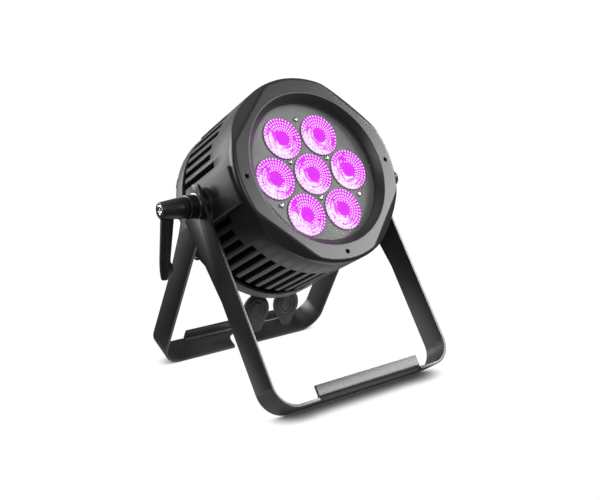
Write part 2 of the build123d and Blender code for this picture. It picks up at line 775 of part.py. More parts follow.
stud_hole = stud_radius + running
screw_head_radius = 5.4
screw_head_height = 3.0
well_radius = screw_head_radius + 0.4
well_depth = 13.0
spring_wire = 0.8
insert_radius = 5.0
handle_width = 8.0

for side_name, side, lever_angle in (("left", -1, 0.0), ("right", 1, 120.0)):
    with BuildPart() as spacer:
        add(pivot_disc(side * pad_flat, side * spacer_thickness, 17.0))
        add(pivot_disc(side * pad_flat, side * spacer_thickness, stud_hole), mode=Mode.SUBTRACT)
    finish(spacer.part, f"pivot_spacer_{side_name}")

    with BuildPart() as washer:
        add(pivot_disc(side * inner_half_span, side * washer_thickness, 12.0))
        add(pivot_disc(side * inner_half_span, side * washer_thickness, stud_hole), mode=Mode.SUBTRACT)
    finish(washer.part, f"friction_washer_{side_name}")

    with BuildPart() as lever_washer:
        add(pivot_disc(side * outer_half_span, side * washer_thickness, 12.5))
        add(pivot_disc(side * outer_half_span, side * washer_thickness, stud_hole), mode=Mode.SUBTRACT)
    finish(lever_washer.part, f"lever_washer_{side_name}")

    with BuildPart() as stud:
        add(pivot_disc(side * (pad_flat - 22), side * (collar_start - pad_flat + 23), stud_radius))
        add(pivot_disc(side * collar_start, side * collar_length, collar_radius))
        add(pivot_disc(side * hub_start, side * (lever_end - screw_head_height - hub_start),
                       insert_radius - running))
        add(pivot_disc(side * (lever_end - screw_head_height), side * -12.0, 2.5 + screw_gap),
            mode=Mode.SUBTRACT)
    finish(stud.part, f"lever_stud_{side_name}")

    with BuildPart() as end_screw:
        add(pivot_disc(side * (lever_end - screw_head_height), side * screw_head_height,
                       screw_head_radius))
        add(pivot_disc(side * (lever_end - screw_head_height), side * -11.0, 2.5))
        with BuildSketch(Plane.YZ.offset(side * lever_end)):
            with Locations((pivot_y, pivot_height)):
                Rectangle(6.4, 1.5)
                Rectangle(1.5, 6.4)
        extrude(amount=side * -1.6, mode=Mode.SUBTRACT)
    finish(end_screw.part, f"lever_screw_{side_name}")

    well_floor = lever_end - well_depth
    with BuildPart() as spring:
        start = side * (well_floor + 0.2)
        length = well_depth - screw_head_height - 0.4
        with BuildSketch(Plane.YZ.offset(start)):
            with Locations((pivot_y, pivot_height)):
                Circle(insert_radius + 0.1 + spring_wire * 0.5)
                Circle(insert_radius + 0.05, mode=Mode.SUBTRACT)
        extrude(amount=side * length)
    finish(spring.part, f"lever_spring_{side_name}")

    swing = radians(lever_angle)
    down = Vector(0, sin(swing), -cos(swing))
    centre = Vector(0, pivot_y, pivot_height)
    front_plane = Plane(origin=centre, x_dir=(1, 0, 0), z_dir=Vector(1, 0, 0).cross(down * -1))
    with BuildPart() as handle:
        add(pivot_disc(side * (hub_start + 0.2), side * 12.0, hub_radius))
        add(pivot_disc(side * (hub_start + 12.2), side * (lever_end - 1 - hub_start - 12.2), hub_radius, 8))
        with BuildSketch(front_plane):
            with BuildLine():
                Polyline((side * (lever_end - 1.0), -2), (side * (lever_end + 1.0), -46),
                         (side * (lever_end - 0.5), -lever_reach), (side * (lever_end - 6.5), -lever_reach + 1),
                         (side * (lever_end - 13.5), -62.0), (side * (lever_end - 13.5), -54.0),
                         (side * (lever_end - 10.0), -50.0), (side * (lever_end - 14.5), -10.0),
                         (side * (lever_end - 14.5), -2), close=True)
            make_face()
        extrude(amount=handle_width / 2, both=True)
        add(pivot_disc(side * (hub_start + 0.2), side * (lever_end - hub_start), insert_radius),
            mode=Mode.SUBTRACT)
        add(pivot_disc(side * well_floor, side * (well_depth + 5), well_radius), mode=Mode.SUBTRACT)
    finish(handle.part, f"lever_handle_{side_name}")
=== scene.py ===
"""Looks of the par can light: powder-coated head and yokes, lit lenses, clamp levers, rubber caps.

Head sizes are in millimetres in the head's own frame: origin on the tilt axis, +z along the
beam, +x along the tilt axis. put_in_head() brings them into the row frame, in metres.
"""

import json
from math import atan2, cos, degrees, pi, radians, sin, sqrt

import bmesh
import bpy
from mathutils import Matrix, Vector, noise


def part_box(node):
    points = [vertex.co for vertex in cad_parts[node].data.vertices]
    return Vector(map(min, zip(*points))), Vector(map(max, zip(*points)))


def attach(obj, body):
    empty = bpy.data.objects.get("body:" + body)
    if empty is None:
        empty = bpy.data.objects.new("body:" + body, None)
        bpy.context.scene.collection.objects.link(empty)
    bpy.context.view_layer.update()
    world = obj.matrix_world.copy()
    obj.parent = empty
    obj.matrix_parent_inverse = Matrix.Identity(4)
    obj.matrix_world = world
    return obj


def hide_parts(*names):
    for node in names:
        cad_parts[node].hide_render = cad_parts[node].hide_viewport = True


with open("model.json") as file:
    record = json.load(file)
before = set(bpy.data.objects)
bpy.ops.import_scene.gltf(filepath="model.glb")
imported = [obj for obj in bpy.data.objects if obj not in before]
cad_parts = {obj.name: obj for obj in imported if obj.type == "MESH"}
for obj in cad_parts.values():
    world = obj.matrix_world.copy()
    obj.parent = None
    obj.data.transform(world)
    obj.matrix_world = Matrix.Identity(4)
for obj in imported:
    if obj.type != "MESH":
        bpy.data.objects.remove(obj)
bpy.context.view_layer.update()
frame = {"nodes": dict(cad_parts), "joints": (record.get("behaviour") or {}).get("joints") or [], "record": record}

MM = 0.001
record = frame["record"]
nodes = frame["nodes"]
joints = {j["name"]: j for j in frame["joints"]}
mounts = {m["name"]: m for m in record["mounts"]}

pivot = Vector(joints["head_tilt"]["pos_m"])
beam = -Vector(mounts["data_in_socket"]["axis"]).normalized()
head_up = beam.cross(Vector((1, 0, 0)))
middle_lens = sum((Vector(c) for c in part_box("lens_1")), Vector()) / 2
head_origin = middle_lens - beam * (middle_lens - pivot).dot(beam)
HEAD = (Matrix.Translation(head_origin)
        @ Matrix((Vector((1, 0, 0)), head_up, beam)).transposed().to_4x4()
        @ Matrix.Scale(MM, 4))
HEAD_INVERSE = HEAD.inverted()


# ================================================================ mesh helpers
def new_object(name, mesh, material=None):
    piece = bpy.data.objects.new(name, mesh)
    bpy.context.scene.collection.objects.link(piece)
    if material:
        mesh.materials.append(material)
    return piece


def tidy_mesh(mesh, sharp=35.0, merge=1e-6, outward=True):
    """Merges doubles, turns faces outwards and shades smooth up to the sharp angle."""
    work = bmesh.new()
    work.from_mesh(mesh)
    bmesh.ops.remove_doubles(work, verts=work.verts, dist=merge)
    bmesh.ops.dissolve_degenerate(work, edges=work.edges, dist=merge)
    if outward:
        bmesh.ops.recalc_face_normals(work, faces=work.faces)
    work.to_mesh(mesh)
    work.free()
    mesh.shade_smooth()
    mesh.set_sharp_from_angle(angle=radians(sharp))
    return mesh


def skin(name, rows, wrap=True):
    """Quads between rows of points; wrap joins each row's end to its start."""
    points = [p for row in rows for p in row]
    n = len(rows[0])
    faces = []
    for r in range(len(rows) - 1):
        for c in range(n if wrap else n - 1):
            d = (c + 1) % n
            faces.append((r * n + c, r * n + d, (r + 1) * n + d, (r + 1) * n + c))
    mesh = bpy.data.meshes.new(name)
    mesh.from_pydata(points, [], faces)
    return mesh


def lathe(name, profile, steps=96):
    """Turned shape about z from (radius, z) points."""
    rows = []
    for r, z in profile:
        rows.append([(r * cos(2 * pi * k / steps), r * sin(2 * pi * k / steps), z)
                     for k in range(steps)])
    return skin(name, rows)


def join_meshes(name, meshes):
    """One mesh of several, material indices kept."""
    work = bmesh.new()
    slots = []
    for mesh in meshes:
        first = len(work.faces)
        work.from_mesh(mesh)
        work.faces.ensure_lookup_table()
        for face in work.faces[first:]:
            material = mesh.materials[face.material_index] if mesh.materials else None
            if material not in slots:
                slots.append(material)
            face.material_index = slots.index(material)
    joined = bpy.data.meshes.new(name)
    work.to_mesh(joined)
    work.free()
    for material in slots:
        if material:
            joined.materials.append(material)
    joined.shade_smooth()
    joined.set_sharp_from_angle(angle=radians(35))
    return joined


def softened(node, width, segments=2, sharp=28.0, flat=0.6):
    """Copy of a CAD node with its edges rounded; corners of the new strips carry edge = 1."""
    mesh = bpy.data.meshes.new(node + "_soft")
    work = bmesh.new()
    work.from_mesh(nodes[node].data)
    bmesh.ops.remove_doubles(work, verts=work.verts, dist=2e-6)
    bmesh.ops.dissolve_limit(work, angle_limit=radians(flat), verts=work.verts, edges=work.edges)
    bmesh.ops.recalc_face_normals(work, faces=work.faces)
    edge = work.loops.layers.float.new("edge")
    hard = [e for e in work.edges if len(e.link_faces) == 2
            and e.calc_face_angle(0) > radians(sharp) and e.calc_length() > 0.0002]
    made = bmesh.ops.bevel(work, geom=hard, offset=width * MM, segments=segments, profile=0.5,
                           affect="EDGES", clamp_overlap=False)
    for face in made["faces"]:
        for loop in face.loops:
            loop[edge] = 1.0
    bmesh.ops.triangulate(work, faces=[f for f in work.faces if len(f.verts) > 4])
    work.to_mesh(mesh)
    work.free()
    mesh.shade_smooth()
    mesh.set_sharp_from_angle(angle=radians(25))
    return mesh


def place(name, mesh, body, material, slot, *stands_for):
    """Finished piece: its mesh already in the row frame, riding its body."""
    if not mesh.materials:
        mesh.materials.append(material)
    piece = new_object(name, mesh)
    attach(piece, body)
    if stands_for:
        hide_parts(*stands_for)
    return piece


def cut(mesh, tool, material):
    """Mesh with the tool's solids taken out of it."""
    body, cutter = new_object("cut_body", mesh), new_object("cut_tool", tool)
    modifier = body.modifiers.new("cut", "BOOLEAN")
    modifier.operation, modifier.object, modifier.solver = "DIFFERENCE", cutter, "EXACT"
    bpy.context.view_layer.update()
    made = bpy.data.meshes.new_from_object(body.evaluated_get(bpy.context.evaluated_depsgraph_get()))
    bpy.data.objects.remove(body)
    bpy.data.objects.remove(cutter)
    made.materials.clear()
    made.materials.append(material)
    return made


def put_in_head(mesh):
    mesh.transform(HEAD)
    mesh.update()
    return mesh


# ================================================================ shader helpers
def wire(tree, kind, settings=None, **inputs):
    """Node with its settings and inputs; an input is a socket or a value."""
    node = tree.nodes.new(kind)
    for key, value in (settings or {}).items():
        setattr(node, key, value)
    for key, value in inputs.items():
        socket = node.inputs[int(key[1:])] if key[0] == "i" and key[1:].isdigit() else (
            node.inputs[key.replace("_", " ")])
        if isinstance(value, bpy.types.NodeSocket):
            tree.links.new(value, socket)
        else:
            socket.default_value = value
    return node


def calc(tree, operation, *values):
    inputs = {f"i{k}": value for k, value in enumerate(values)}
    return wire(tree, "ShaderNodeMath", {"operation": operation}, **inputs).outputs[0]


def blend(tree, share, first, second):
    """Colour between two colours."""
    node = wire(tree, "ShaderNodeMix", {"data_type": "RGBA"}, i0=share, i6=first, i7=second)
    return node.outputs[2]


def step(tree, value, low, high):
    """Smooth rise from 0 at low to 1 at high."""
    node = wire(tree, "ShaderNodeMapRange", {"interpolation_type": "SMOOTHSTEP"},
                i0=value, i1=low, i2=high)
    return node.outputs[0]


def shader_group(name, inputs, outputs):
    """Empty node group with its sockets; returns tree, input node, output node."""
    tree = bpy.data.node_groups.new(name, "ShaderNodeTree")
    for label, kind, value in inputs:
        socket = tree.interface.new_socket(name=label, in_out="INPUT", socket_type=kind)
        if value is not None:
            socket.default_value = value
    for label, kind in outputs:
        tree.interface.new_socket(name=label, in_out="OUTPUT", socket_type=kind)
    return tree, tree.nodes.new("NodeGroupInput").outputs, tree.nodes.new("NodeGroupOutput").inputs


FLOAT, COLOUR = "NodeSocketFloat", "NodeSocketColor"


def make_coat_group():
    """Grain, tone drift, a lighter colour on bevelled edges that is partly wear and partly a painted highlight,
    and settled dust of a painted or moulded surface.
    """
    tree, given, out = shader_group(
        "surface_grain_wear_and_edge_highlight",
        [("Base", COLOUR, (0.03, 0.03, 0.03, 1)), ("Edge Wear And Highlight Colour", COLOUR, (0.2, 0.2, 0.2, 1)),
         ("Grain Scale", FLOAT, 1500.0), ("Drift", FLOAT, 0.15), ("Roughness", FLOAT, 0.4),
         ("Roughness Drift", FLOAT, 0.08), ("Edge Wear And Highlight", FLOAT, 0.5), ("Dust", FLOAT, 0.05)],
        [("Colour", COLOUR), ("Roughness", FLOAT), ("Height", FLOAT)])
    here = tree.nodes.new("ShaderNodeTexCoord").outputs["Object"]
    grain = wire(tree, "ShaderNodeTexNoise", i0=here, i2=given["Grain Scale"], i3=2.0, i4=0.6)
    pebble = wire(tree, "ShaderNodeTexVoronoi", {"feature": "SMOOTH_F1"}, Vector=here,
                  Scale=given["Grain Scale"])
    clouds = wire(tree, "ShaderNodeTexNoise", i0=here, i2=22.0, i3=3.0, i4=0.55)
    edge_patch_noise = wire(tree, "ShaderNodeTexNoise", i0=here, i2=160.0, i3=4.0, i4=0.6)
    height = calc(tree, "ADD", calc(tree, "MULTIPLY", grain.outputs[0], 0.5),
                  calc(tree, "MULTIPLY", pebble.outputs["Distance"], 0.5))
    centred = calc(tree, "SUBTRACT", clouds.outputs[0], 0.5)
    tone = calc(tree, "ADD", 1.0, calc(tree, "MULTIPLY", centred, given["Drift"]))
    edge = wire(tree, "ShaderNodeAttribute", {"attribute_name": "edge"}).outputs["Fac"]
    # Bevel strips get a lighter colour in patches: partly edge wear, partly a painted highlight along the edges.
    edge_patch_share = step(tree, edge_patch_noise.outputs[0], 0.35, 0.65)
    edge_wear_and_highlight = calc(tree, "MULTIPLY", calc(tree, "MULTIPLY", edge, edge_patch_share), given["Edge Wear And Highlight"])
    facing = wire(tree, "ShaderNodeSeparateXYZ",
                  i0=tree.nodes.new("ShaderNodeNewGeometry").outputs["Normal"]).outputs[2]
    settled = step(tree, facing, 0.55, 1.0)
    dust = calc(tree, "MULTIPLY", calc(tree, "MULTIPLY", settled, step(tree, clouds.outputs[0], 0.4, 0.7)),
                given["Dust"])
    toned = wire(tree, "ShaderNodeVectorMath", {"operation": "SCALE"}, i0=given["Base"], i3=tone)
    edge_wear_and_highlight_colour = blend(tree, edge_wear_and_highlight, toned.outputs[0], given["Edge Wear And Highlight Colour"])
    dusty = blend(tree, dust, edge_wear_and_highlight_colour, (0.45, 0.43, 0.4, 1))
    tree.links.new(dusty, out["Colour"])
    rough = calc(tree, "ADD", given["Roughness"], calc(tree, "MULTIPLY", centred, given["Roughness Drift"]))
    rough = calc(tree, "ADD", rough, calc(tree, "MULTIPLY", dust, 2.0))
    tree.links.new(rough, out["Roughness"])
    tree.links.new(height, out["Height"])
    return tree


coat_group = make_coat_group()


def new_material(name, **constants):
    """Material with a Principled shader whose plain numbers are set on its own sockets."""
    material = bpy.data.materials.new(name)
    material.use_nodes = True
    tree = material.node_tree
    shader = tree.nodes["Principled BSDF"] if "Principled BSDF" in tree.nodes else (
        tree.nodes.new("ShaderNodeBsdfPrincipled"))
    if "Material Output" not in tree.nodes:
        output = tree.nodes.new("ShaderNodeOutputMaterial")
        tree.links.new(shader.outputs[0], output.inputs[0])
    for key, value in constants.items():
        shader.inputs[key.replace("_", " ")].default_value = value
    return material, tree, shader


def surface(name, base, roughness, edge_wear_and_highlight_colour=None, grain=1500.0, depth=0.00004, drift=0.2, edge_wear_and_highlight=0.5,
            dust=0.04, rough_drift=0.08, **constants):
    """Coated, moulded or plain metal surface from the shared group."""
    material, tree, shader = new_material(name, **constants)
    group = tree.nodes.new("ShaderNodeGroup")
    group.node_tree = coat_group
    # The worn colour goes on the bevel strips: partly edge wear, partly a painted edge highlight.
    values = {"Base": (*base, 1), "Edge Wear And Highlight Colour": (*(edge_wear_and_highlight_colour or base), 1), "Grain Scale": grain, "Drift": drift,
              "Roughness": roughness, "Roughness Drift": rough_drift, "Edge Wear And Highlight": edge_wear_and_highlight, "Dust": dust}
    for key, value in values.items():
        group.inputs[key].default_value = value
    tree.links.new(group.outputs["Colour"], shader.inputs["Base Color"])
    tree.links.new(group.outputs["Roughness"], shader.inputs["Roughness"])
    bump = wire(tree, "ShaderNodeBump", Strength=1.0, Distance=depth, Height=group.outputs["Height"])
    tree.links.new(bump.outputs[0], shader.inputs["Normal"])
    return material


housing_paint = surface("satin_black_housing_coat", (0.030, 0.030, 0.031), 0.42, edge_wear_and_highlight_colour=(0.16, 0.16, 0.165),
                        grain=1300.0, depth=0.00003, edge_wear_and_highlight=0.55)
bezel_paint = surface("satin_black_bezel_coat", (0.030, 0.030, 0.031), 0.34, edge_wear_and_highlight_colour=(0.2, 0.2, 0.2),
                      grain=1500.0, depth=0.00002, edge_wear_and_highlight=0.3)
yoke_paint = surface("satin_black_yoke_coat", (0.015, 0.015, 0.0155), 0.37, edge_wear_and_highlight_colour=(0.16, 0.16, 0.16),
                     grain=1400.0, depth=0.000003, edge_wear_and_highlight=0.0, Specular_IOR_Level=0.85)
plate_paint = surface("matt_grey_lens_plate", (0.24, 0.24, 0.242), 0.6, edge_wear_and_highlight_colour=(0.2, 0.2, 0.2),
                      grain=2200.0, depth=0.00002, edge_wear_and_highlight=0.2, dust=0.0, Specular_IOR_Level=0.12)
black_plastic = surface("moulded_black_nylon", (0.026, 0.026, 0.0265), 0.36, edge_wear_and_highlight_colour=(0.09, 0.09, 0.09),
                        grain=1900.0, depth=0.00003, edge_wear_and_highlight=0.35, dust=0.02)
black_rubber = surface("moulded_black_rubber", (0.028, 0.028, 0.029), 0.62, edge_wear_and_highlight_colour=(0.07, 0.07, 0.07),
                       grain=900.0, depth=0.00005, edge_wear_and_highlight=0.3, dust=0.08)
black_screw = surface("blackened_screw_steel", (0.03, 0.03, 0.032), 0.32, edge_wear_and_highlight_colour=(0.35, 0.35, 0.36),
                      grain=2600.0, depth=0.00001, edge_wear_and_highlight=0.7, dust=0.0, Metallic=0.6)
bright_steel = surface("bright_zinc_steel", (0.74, 0.74, 0.75), 0.16, edge_wear_and_highlight_colour=(0.9, 0.9, 0.9), grain=2400.0,
                       depth=0.00001, drift=0.1, edge_wear_and_highlight=0.5, dust=0.0, Metallic=1.0)
washer_steel = surface("dull_washer_steel", (0.42, 0.42, 0.43), 0.38, edge_wear_and_highlight_colour=(0.6, 0.6, 0.6), grain=2400.0,
                       depth=0.00001, drift=0.1, edge_wear_and_highlight=0.4, dust=0.0, Metallic=1.0)
black_steel = surface("blackened_stud_steel", (0.014, 0.014, 0.015), 0.3, edge_wear_and_highlight_colour=(0.2, 0.2, 0.2),
                      grain=2200.0, depth=0.00001, edge_wear_and_highlight=0.5, dust=0.0)
vent_brass = surface("nickelled_vent_brass", (0.5, 0.43, 0.3), 0.28, edge_wear_and_highlight_colour=(0.8, 0.7, 0.5), grain=2400.0,
                     depth=0.00001, edge_wear_and_highlight=0.5, dust=0.0, Metallic=1.0)
board_green = surface("green_solder_mask", (0.02, 0.09, 0.045), 0.3, grain=2000.0, depth=0.00001,
                      dust=0.0, Coat_Weight=0.4)
emitter_yellow = surface("emitter_phosphor", (0.75, 0.6, 0.12), 0.3, grain=3000.0, depth=0.00001, dust=0.0)
smoked_acrylic = surface("smoked_acrylic", (0.008, 0.008, 0.011), 0.06, grain=600.0, depth=0.000002,
                         drift=0.1, dust=0.02, rough_drift=0.04, Coat_Weight=0.6)


def make_front_glass():
    """Clear plate: faint smears lift its roughness."""
    material, tree, shader = new_material("clear_front_glass", IOR=1.5)
    here = tree.nodes.new("ShaderNodeTexCoord").outputs["Object"]
    smears = wire(tree, "ShaderNodeTexNoise", i0=here, i2=35.0, i3=5.0, i4=0.6)
    rough = wire(tree, "ShaderNodeMapRange", i0=smears.outputs[0], i1=0.35, i2=0.75, i3=0.01, i4=0.12)
    tree.links.new(rough.outputs[0], shader.inputs["Roughness"])
    tint = blend(tree, smears.outputs[0], (0.6, 0.63, 0.62, 1), (0.85, 0.88, 0.87, 1))
    tree.links.new(tint, shader.inputs["Base Color"])
    shader.inputs["Alpha"].default_value = 0.03
    shader.inputs["Specular IOR Level"].default_value = 0.06
    return material


front_glass = make_front_glass()

LENS_SPOKES = 36


def make_lens_face(name):
    """Lit face of a lens: solid magenta core, white light pooling in arcs and towards its lower left."""
    material, tree, shader = new_material(name, Roughness=0.35, Specular_IOR_Level=0.0)
    uv = tree.nodes.new("ShaderNodeUVMap")
    uv.uv_map = "face"
    xyz = wire(tree, "ShaderNodeSeparateXYZ", i0=uv.outputs[0])
    x, y = xyz.outputs[0], xyz.outputs[1]
    radius = calc(tree, "SQRT", calc(tree, "ADD", calc(tree, "MULTIPLY", x, x), calc(tree, "MULTIPLY", y, y)))
    angle = calc(tree, "ARCTAN2", y, x)
    here = tree.nodes.new("ShaderNodeTexCoord").outputs["Object"]
    spokes = calc(tree, "SINE", calc(tree, "MULTIPLY", angle, LENS_SPOKES))
    around = wire(tree, "ShaderNodeCombineXYZ", i0=calc(tree, "MULTIPLY", x, 1.1),
                  i1=calc(tree, "MULTIPLY", y, 1.1),
                  i2=calc(tree, "MULTIPLY", radius, 7.0))
    apart = wire(tree, "ShaderNodeVectorMath", {"operation": "MULTIPLY_ADD"}, i0=here, i1=(30, 30, 30),
                 i2=around.outputs[0])
    arcs = wire(tree, "ShaderNodeTexNoise", i0=apart.outputs[0], i2=1.6, i3=2.0, i4=0.5)
    fleck = wire(tree, "ShaderNodeTexNoise", i0=here, i2=520.0, i3=3.0, i4=0.7)
    lean = calc(tree, "ADD", calc(tree, "MULTIPLY", x, -0.62), calc(tree, "MULTIPLY", y, -0.60))
    pool = step(tree, calc(tree, "ADD", calc(tree, "MULTIPLY", lean, 0.42), arcs.outputs[0]), 0.56, 0.70)
    pool = calc(tree, "MULTIPLY", pool, step(tree, fleck.outputs[0], 0.34, 0.50))
    streak = calc(tree, "MULTIPLY", step(tree, spokes, 0.2, 0.9), step(tree, lean, -0.1, 0.5))
    white = calc(tree, "MAXIMUM", pool, calc(tree, "MULTIPLY", streak, 0.55))
    white = calc(tree, "MULTIPLY", white, step(tree, radius, 0.31, 0.37))
    white = calc(tree, "MULTIPLY", white, calc(tree, "SUBTRACT", 1.0, step(tree, radius, 0.90, 0.98)))
    core = step(tree, radius, 0.0, 0.33)
    magenta = blend(tree, core, (0.72, 0.010, 0.92, 1), (0.85, 0.004, 0.98, 1))
    lit = blend(tree, white, magenta, (1.0, 0.92, 1.0, 1))
    tree.links.new(lit, shader.inputs["Emission Color"])
    shader.inputs["Emission Strength"].default_value = 1.0
    shader.inputs["Base Color"].default_value = (0.02, 0.004, 0.02, 1)
    return material


lens_face = make_lens_face("lit_lens_face")
lens_bead = surface("lit_lens_bead", (0.04, 0.03, 0.04), 0.4, grain=3000.0, depth=0.000002, dust=0.0,
                    Specular_IOR_Level=0.0)
lens_bead.node_tree.nodes["Principled BSDF"].inputs["Emission Color"].default_value = (1.0, 0.9, 1.0, 1)
lens_bead.node_tree.nodes["Principled BSDF"].inputs["Emission Strength"].default_value = 0.95
lens_rim = surface("dark_green_lens_rim", (0.01, 0.05, 0.012), 0.3, grain=2500.0, depth=0.000005, dust=0.0)


# ================================================================ geometry nodes
def make_copies_tree():
    """Copies of a template on every point of the mesh, turned at random about z."""
    tree = bpy.data.node_groups.new("copies_on_points", "GeometryNodeTree")
    sockets = {}
    for label, kind in (("Geometry", "NodeSocketGeometry"), ("Template", "NodeSocketObject"),
                        ("Size", FLOAT), ("Turn", FLOAT), ("Seed", "NodeSocketInt"),
                        ("Finish", "NodeSocketMaterial")):
        sockets[label] = tree.interface.new_socket(name=label, in_out="INPUT", socket_type=kind)
    tree.interface.new_socket(name="Geometry", in_out="OUTPUT", socket_type="NodeSocketGeometry")
    given = tree.nodes.new("NodeGroupInput").outputs
    out = tree.nodes.new("NodeGroupOutput").inputs
    template = wire(tree, "GeometryNodeObjectInfo", {"transform_space": "ORIGINAL"})
    tree.links.new(given["Template"], template.inputs["Object"])
    spin = wire(tree, "FunctionNodeRandomValue", {"data_type": "FLOAT"})
    tree.links.new(given["Turn"], spin.inputs[3])
    tree.links.new(given["Seed"], spin.inputs["Seed"])
    about = tree.nodes.new("ShaderNodeCombineXYZ")
    aim = wire(tree, "GeometryNodeInputNamedAttribute", {"data_type": "FLOAT"})
    aim.inputs["Name"].default_value = "aim"
    total = wire(tree, "ShaderNodeMath", {"operation": "ADD"})
    tree.links.new(spin.outputs[1], total.inputs[0])
    tree.links.new(aim.outputs[0], total.inputs[1])
    tree.links.new(total.outputs[0], about.inputs[2])
    put = tree.nodes.new("GeometryNodeInstanceOnPoints")
    tree.links.new(given["Geometry"], put.inputs["Points"])
    tree.links.new(template.outputs["Geometry"], put.inputs["Instance"])
    tree.links.new(about.outputs[0], put.inputs["Rotation"])
    tree.links.new(given["Size"], put.inputs["Scale"])
    real = tree.nodes.new("GeometryNodeRealizeInstances")
    tree.links.new(put.outputs[0], real.inputs[0])
    paint = tree.nodes.new("GeometryNodeSetMaterial")
    tree.links.new(real.outputs[0], paint.inputs["Geometry"])
    tree.links.new(given["Finish"], paint.inputs["Material"])
    tree.links.new(paint.outputs[0], out["Geometry"])
    return tree, {label: socket.identifier for label, socket in sockets.items()}


copies_tree, copies_socket = make_copies_tree()


def copies(name, template, points, material, aims=None, turn=0.0, seed=1, size=1.0):
    """Plain mesh of a template repeated on points by the geometry nodes."""
    spots = bpy.data.meshes.new(name + "_spots")
    spots.from_pydata(points, [], [])
    aim = spots.attributes.new("aim", "FLOAT", "POINT")
    for k in range(len(points)):
        aim.data[k].value = aims[k] if aims else 0.0
    carrier = new_object(name + "_carrier", spots)
    stamp = new_object(name + "_template", template)
    modifier = carrier.modifiers.new("copies", "NODES")
    modifier.node_group = copies_tree
    values = {"Template": stamp, "Size": size, "Turn": turn, "Seed": seed, "Finish": material}
    for label, value in values.items():
        modifier[copies_socket[label]] = value
    bpy.context.view_layer.update()
    made = bpy.data.meshes.new_from_object(carrier.evaluated_get(bpy.context.evaluated_depsgraph_get()))
    made.name = name
    carrier.modifiers.clear()
    bpy.data.objects.remove(carrier)
    bpy.data.objects.remove(stamp)
    made.shade_smooth()
    made.set_sharp_from_angle(angle=radians(35))
    return made


# ================================================================ sizes read from the frame
def head_extent(node):
    """Lowest and highest corner of a CAD node in the head's own frame, mm."""
    points = [HEAD_INVERSE @ v.co for v in nodes[node].data.vertices]
    low = Vector(min(p[k] for p in points) for k in range(3))
    high = Vector(max(p[k] for p in points) for k in range(3))
    return low, high


def round_size(node):
    """(middle x, middle y, radius, low z, high z) of a round CAD node in the head's frame."""
    low, high = head_extent(node)
    return ((low.x + high.x) / 2, (low.y + high.y) / 2, (high.x - low.x) / 2, low.z, high.z)


BODY_RADIUS = round_size("front_bezel")[2]
BEZEL_REAR, BEZEL_FRONT = round_size("front_bezel")[3:]
GLASS_RADIUS, GLASS_REAR, GLASS_FRONT = round_size("front_glass")[2:]
LENS_RADIUS = round_size("lens_1")[2]
LENS_FRONT = round_size("lens_1")[4]
LENS_PITCH = round_size("lens_2")[0]
PLATE_FRONT = LENS_FRONT - 1.0
HOUSING_LOW, HOUSING_HIGH = head_extent("main_housing")
HOUSING_REAR = HOUSING_LOW.z
PAD_FLAT = HOUSING_HIGH.x
SPREADER_FRONT = head_extent("led_board")[0].z
CAN_OUTER = round_size("rear_gasket")[2] + 0.5
CAN_INNER = CAN_OUTER - 10.0
lens_centres = [round_size(f"lens_{k}")[:2] for k in range(1, 8)]


def ring_places(radius, angles):
    return [(radius * cos(radians(a)), radius * sin(radians(a))) for a in angles]


# ================================================================ bezel
WINDOW_RADIUS = 72.5
WINDOW_MOUTH = 79.3
LIP_DEPTH = 5.6
FRONT_EDGE = 4.0
FACET_REACH = 87.1
FACET_FALL = 8.0 / 10.5
BEZEL_BLEND = 1.6
BEZEL_SCREW_CIRCLE = 87.0
SCREW_HOLE = 2.3
BEZEL_SCREW_ANGLES = (0, 180, 270)


def smooth_low(a, b, width):
    """Lower of two values, rounded over where they are within width."""
    share = max(width - abs(a - b), 0.0) / width
    return min(a, b) - share * share * width / 4


def bezel_height(radius, angle):
    """Front surface of the bezel: flat face, four facets and the rounded outer edge."""
    start = BODY_RADIUS - FRONT_EDGE
    height = BEZEL_FRONT
    if radius > start:
        height = BEZEL_FRONT - FRONT_EDGE + sqrt(max(FRONT_EDGE ** 2 - (radius - start) ** 2, 0))
    for corner in (45, 135, 225, 315):
        reach = radius * cos(angle - radians(corner))
        facet = BEZEL_FRONT - (reach - FACET_REACH) * FACET_FALL
        height = smooth_low(height, facet, BEZEL_BLEND)
    return max(height, BEZEL_REAR + 0.2)


